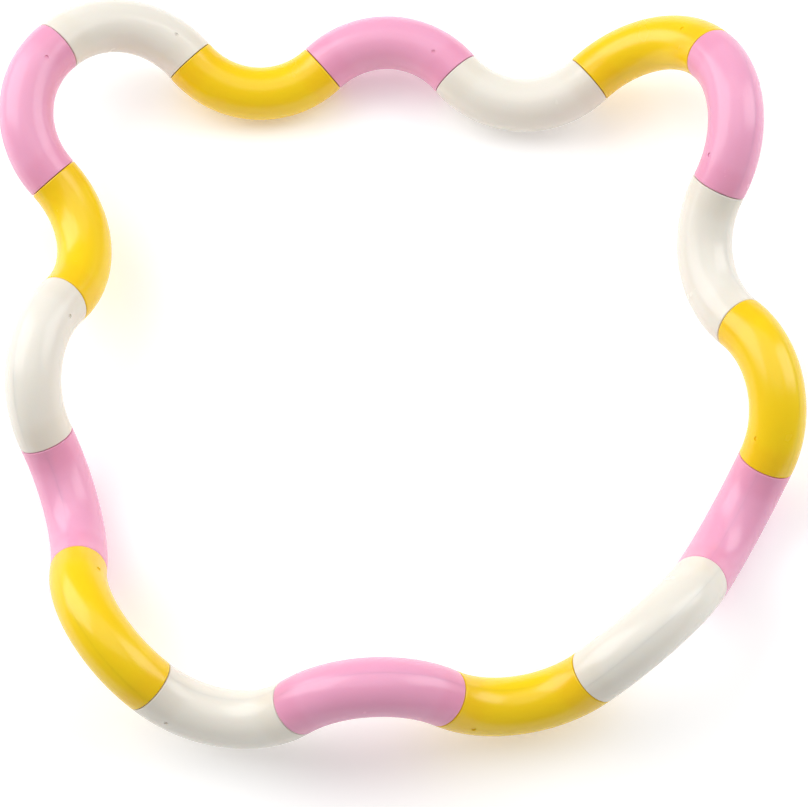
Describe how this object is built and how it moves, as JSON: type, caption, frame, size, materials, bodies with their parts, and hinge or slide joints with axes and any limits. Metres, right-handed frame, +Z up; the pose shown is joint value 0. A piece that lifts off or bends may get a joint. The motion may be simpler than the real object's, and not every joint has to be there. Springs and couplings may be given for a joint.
{
  "type": "twisting snake puzzle",
  "caption": "Closed loop of quarter-circle plastic tube bends in cream, yellow and pink, each free to spin on the next so that the loop can be twisted into new shapes.",
  "frame": {"origin": "on the table under the middle of the loop's box", "axes": "+X to the right as the picture shows the loop, +Y away from the camera, +Z up from the table"},
  "size_m": [0.2038, 0.1992, 0.0424],
  "materials": {
    "cream_plastic": "high gloss",
    "yellow_plastic": "high gloss",
    "pink_plastic": "high gloss",
    "pin_plastic": "satin"
  },
  "bodies": {
    "bend_01": {"marked_half_01": "cream_plastic", "plain_half_01": "cream_plastic"},
    "pin_01": {"swivel_pin_01": "pin_plastic"},
    "bend_02": {"marked_half_02": "yellow_plastic", "plain_half_02": "yellow_plastic"},
    "pin_02": {"swivel_pin_02": "pin_plastic"},
    "bend_03": {"marked_half_03": "pink_plastic", "plain_half_03": "pink_plastic"},
    "pin_03": {"swivel_pin_03": "pin_plastic"},
    "bend_04": {"marked_half_04": "cream_plastic", "plain_half_04": "cream_plastic"},
    "pin_04": {"swivel_pin_04": "pin_plastic"},
    "bend_05": {"marked_half_05": "yellow_plastic", "plain_half_05": "yellow_plastic"},
    "pin_05": {"swivel_pin_05": "pin_plastic"},
    "bend_06": {"marked_half_06": "pink_plastic", "plain_half_06": "pink_plastic"},
    "pin_06": {"swivel_pin_06": "pin_plastic"},
    "bend_07": {"marked_half_07": "cream_plastic", "plain_half_07": "cream_plastic"},
    "pin_07": {"swivel_pin_07": "pin_plastic"},
    "bend_08": {"marked_half_08": "yellow_plastic", "plain_half_08": "yellow_plastic"},
    "pin_08": {"swivel_pin_08": "pin_plastic"},
    "bend_09": {"marked_half_09": "pink_plastic", "plain_half_09": "pink_plastic"},
    "pin_09": {"swivel_pin_09": "pin_plastic"},
    "bend_10": {"marked_half_10": "cream_plastic", "plain_half_10": "cream_plastic"},
    "pin_10": {"swivel_pin_10": "pin_plastic"},
    "bend_11": {"marked_half_11": "yellow_plastic", "plain_half_11": "yellow_plastic"},
    "pin_11": {"swivel_pin_11": "pin_plastic"},
    "bend_12": {"marked_half_12": "pink_plastic", "plain_half_12": "pink_plastic"},
    "pin_12": {"swivel_pin_12": "pin_plastic"},
    "bend_13": {"marked_half_13": "cream_plastic", "plain_half_13": "cream_plastic"},
    "pin_13": {"swivel_pin_13": "pin_plastic"},
    "bend_14": {"marked_half_14": "yellow_plastic", "plain_half_14": "yellow_plastic"},
    "pin_14": {"swivel_pin_14": "pin_plastic"},
    "bend_15": {"marked_half_15": "pink_plastic", "plain_half_15": "pink_plastic"},
    "pin_15": {"swivel_pin_15": "pin_plastic"},
    "bend_16": {"marked_half_16": "cream_plastic", "plain_half_16": "cream_plastic"},
    "pin_16": {"swivel_pin_16": "pin_plastic"},
    "bend_17": {"marked_half_17": "yellow_plastic", "plain_half_17": "yellow_plastic"},
    "pin_17": {"swivel_pin_17": "pin_plastic"},
    "bend_18": {"marked_half_18": "pink_plastic", "plain_half_18": "pink_plastic"},
    "pin_18": {"swivel_pin_18": "pin_plastic"}
  },
  "joints": [
    {"name": "seat_spin_13", "type": "hinge", "parent": "bend_13", "child": "pin_13", "pos_m": [-0.05804, -0.08518, 0.01771], "axis": [-0.6817, 0.4674, 0.5628], "continuous": true},
    {"name": "nose_spin_13", "type": "hinge", "parent": "pin_13", "child": "bend_14", "pos_m": [-0.05804, -0.08518, 0.01771], "axis": [0.6817, -0.4674, -0.5628], "continuous": true},
    {"name": "seat_spin_14", "type": "hinge", "parent": "bend_14", "child": "pin_14", "pos_m": [-0.07724, -0.05537, 0.01444], "axis": [-0.0808, 0.7165, -0.6929], "continuous": true},
    {"name": "nose_spin_14", "type": "hinge", "parent": "pin_14", "child": "bend_15", "pos_m": [-0.07724, -0.05537, 0.01444], "axis": [0.0808, -0.7165, 0.6929], "continuous": true},
    {"name": "seat_spin_15", "type": "hinge", "parent": "bend_15", "child": "pin_15", "pos_m": [-0.08691, -0.0211, 0.01467], "axis": [-0.3032, 0.6446, 0.7019], "continuous": true},
    {"name": "nose_spin_15", "type": "hinge", "parent": "pin_15", "child": "bend_16", "pos_m": [-0.08691, -0.0211, 0.01467], "axis": [0.3032, -0.6446, -0.7019], "continuous": true},
    {"name": "seat_spin_16", "type": "hinge", "parent": "bend_16", "child": "pin_16", "pos_m": [-0.08338, 0.01395, 0.01988], "axis": [0.4432, 0.7474, -0.4949], "continuous": true},
    {"name": "nose_spin_16", "type": "hinge", "parent": "pin_16", "child": "bend_17", "pos_m": [-0.08338, 0.01395, 0.01988], "axis": [-0.4432, -0.7474, 0.4949], "continuous": true},
    {"name": "seat_spin_17", "type": "hinge", "parent": "bend_17", "child": "pin_17", "pos_m": [-0.08821, 0.04918, 0.01787], "axis": [-0.6348, 0.6515, 0.4154], "continuous": true},
    {"name": "nose_spin_17", "type": "hinge", "parent": "pin_17", "child": "bend_18", "pos_m": [-0.08821, 0.04918, 0.01787], "axis": [0.6348, -0.6515, -0.4154], "continuous": true},
    {"name": "seat_spin_18", "type": "hinge", "parent": "bend_18", "child": "pin_18", "pos_m": [-0.08751, 0.0841, 0.02478], "axis": [0.6626, 0.7355, -0.141], "continuous": true},
    {"name": "nose_spin_18", "type": "hinge", "parent": "pin_18", "child": "bend_01", "pos_m": [-0.08751, 0.0841, 0.02478], "axis": [-0.6626, -0.7355, 0.141], "continuous": true},
    {"name": "seat_spin_01", "type": "hinge", "parent": "bend_01", "child": "pin_01", "pos_m": [-0.05431, 0.08599, 0.01203], "axis": [0.6556, -0.6607, -0.3657], "continuous": true},
    {"name": "nose_spin_01", "type": "hinge", "parent": "pin_01", "child": "bend_02", "pos_m": [-0.05431, 0.08599, 0.01203], "axis": [-0.6556, 0.6607, 0.3657], "continuous": true},
    {"name": "seat_spin_02", "type": "hinge", "parent": "bend_02", "child": "pin_02", "pos_m": [-0.01885, 0.08473, 0.009], "axis": [0.7526, 0.611, 0.2455], "continuous": true},
    {"name": "nose_spin_02", "type": "hinge", "parent": "pin_02", "child": "bend_03", "pos_m": [-0.01885, 0.08473, 0.009], "axis": [-0.7526, -0.611, -0.2455], "continuous": true},
    {"name": "seat_spin_03", "type": "hinge", "parent": "bend_03", "child": "pin_03", "pos_m": [0.0166, 0.08169, 0.01046], "axis": [0.6552, -0.7319, -0.1874], "continuous": true},
    {"name": "nose_spin_12", "type": "hinge", "parent": "bend_13", "child": "pin_12", "pos_m": [-0.02304, -0.09118, 0.02036], "axis": [0.7083, 0.229, 0.6677], "continuous": true},
    {"name": "seat_spin_12", "type": "hinge", "parent": "pin_12", "child": "bend_12", "pos_m": [-0.02304, -0.09118, 0.02036], "axis": [-0.7083, -0.229, -0.6677], "continuous": true},
    {"name": "nose_spin_11", "type": "hinge", "parent": "bend_12", "child": "pin_11", "pos_m": [0.01251, -0.08917, 0.01967], "axis": [0.7034, -0.1492, -0.6949], "continuous": true},
    {"name": "seat_spin_11", "type": "hinge", "parent": "pin_11", "child": "bend_11", "pos_m": [0.01251, -0.08917, 0.01967], "axis": [-0.7034, 0.1492, 0.6949], "continuous": true},
    {"name": "nose_spin_10", "type": "hinge", "parent": "bend_11", "child": "pin_10", "pos_m": [0.04769, -0.08394, 0.01792], "axis": [0.6938, 0.3569, 0.6256], "continuous": true},
    {"name": "seat_spin_10", "type": "hinge", "parent": "pin_10", "child": "bend_10", "pos_m": [0.04769, -0.08394, 0.01792], "axis": [-0.6938, -0.3569, -0.6256], "continuous": true},
    {"name": "nose_spin_09", "type": "hinge", "parent": "bend_10", "child": "pin_09", "pos_m": [0.07425, -0.06037, 0.01528], "axis": [0.3609, 0.5795, -0.7307], "continuous": true},
    {"name": "seat_spin_09", "type": "hinge", "parent": "pin_09", "child": "bend_09", "pos_m": [0.07425, -0.06037, 0.01528], "axis": [-0.3609, -0.5795, 0.7307], "continuous": true},
    {"name": "nose_spin_08", "type": "hinge", "parent": "bend_09", "child": "pin_08", "pos_m": [0.09219, -0.02963, 0.01405], "axis": [0.3517, 0.6411, 0.6821], "continuous": true},
    {"name": "seat_spin_08", "type": "hinge", "parent": "pin_08", "child": "bend_08", "pos_m": [0.09219, -0.02963, 0.01405], "axis": [-0.3517, -0.6411, -0.6821], "continuous": true},
    {"name": "nose_spin_07", "type": "hinge", "parent": "bend_08", "child": "pin_07", "pos_m": [0.08679, 0.00479, 0.0214], "axis": [-0.5663, 0.7259, -0.3903], "continuous": true},
    {"name": "seat_spin_07", "type": "hinge", "parent": "pin_07", "child": "bend_07", "pos_m": [0.08679, 0.00479, 0.0214], "axis": [0.5663, -0.7259, 0.3903], "continuous": true},
    {"name": "nose_spin_06", "type": "hinge", "parent": "bend_07", "child": "pin_06", "pos_m": [0.08286, 0.03966, 0.02744], "axis": [0.4104, 0.659, 0.6303], "continuous": true},
    {"name": "seat_spin_06", "type": "hinge", "parent": "pin_06", "child": "bend_06", "pos_m": [0.08286, 0.03966, 0.02744], "axis": [-0.4104, -0.659, -0.6303], "continuous": true},
    {"name": "nose_spin_05", "type": "hinge", "parent": "bend_06", "child": "pin_05", "pos_m": [0.08209, 0.0751, 0.03084], "axis": [-0.4411, 0.7484, -0.4953], "continuous": true},
    {"name": "seat_spin_05", "type": "hinge", "parent": "pin_05", "child": "bend_05", "pos_m": [0.08209, 0.0751, 0.03084], "axis": [0.4411, -0.7484, 0.4953], "continuous": true},
    {"name": "nose_spin_04", "type": "hinge", "parent": "bend_05", "child": "pin_04", "pos_m": [0.05204, 0.0786, 0.01205], "axis": [-0.7523, -0.6093, -0.2506], "continuous": true},
    {"name": "seat_spin_04", "type": "hinge", "parent": "pin_04", "child": "bend_04", "pos_m": [0.05204, 0.0786, 0.01205], "axis": [0.7523, 0.6093, 0.2506], "continuous": true}
  ]
}
